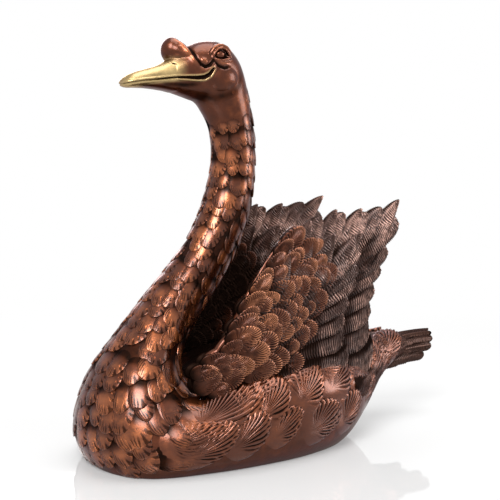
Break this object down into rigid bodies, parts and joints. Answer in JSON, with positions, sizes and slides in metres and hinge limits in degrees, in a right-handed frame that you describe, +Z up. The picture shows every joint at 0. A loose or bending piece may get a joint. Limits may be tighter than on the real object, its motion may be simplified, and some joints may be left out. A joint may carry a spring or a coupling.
{
  "type": "copper swan statue",
  "caption": "Cast copper swan ornament with raised wings, an upright curved neck and a fanned tail, hollow and standing on a felted base plate.",
  "frame": {"origin": "on the surface that the statue stands on, on its middle plane, under the middle of its back", "axes": "+Z up; the swan faces -X, so +X runs from its breast to its tail; -Y is its left side"},
  "size_m": [0.3147, 0.146, 0.2986],
  "materials": {
    "brown_copper": "brown patina, rubbed bright on the raised feathers, lacquered",
    "dark_copper": "dark brown patina",
    "yellow_brass": "polished yellow brass, browned at the root",
    "plain_steel": "plain steel",
    "brown_felt": "felt"
  },
  "bodies": {
    "root": {"body_casting": "brown_copper", "neck_casting": "brown_copper", "head_casting": "brown_copper", "left_wing": "brown_copper", "right_wing": "brown_copper", "tail_fan": "brown_copper", "upper_bill": "yellow_brass", "lower_bill": "yellow_brass", "left_eye": "dark_copper", "right_eye": "dark_copper", "neck_sleeve": "dark_copper", "head_sleeve": "dark_copper", "base_plate": "plain_steel", "felt_pad": "brown_felt", "neck_pin_1": "dark_copper", "head_pin_1": "dark_copper", "neck_pin_2": "dark_copper", "head_pin_2": "dark_copper", "neck_pin_3": "dark_copper", "head_pin_3": "dark_copper", "neck_pin_4": "dark_copper", "head_pin_4": "dark_copper", "tail_pin_1": "dark_copper", "tail_pin_2": "dark_copper", "base_screw_1": "plain_steel", "base_screw_2": "plain_steel", "base_screw_3": "plain_steel", "base_screw_4": "plain_steel", "base_screw_5": "plain_steel", "base_screw_6": "plain_steel", "left_wing_screw_1": "plain_steel", "left_wing_screw_2": "plain_steel", "left_wing_screw_3": "plain_steel", "right_wing_screw_1": "plain_steel", "right_wing_screw_2": "plain_steel", "right_wing_screw_3": "plain_steel"}
  },
  "joints": []
}
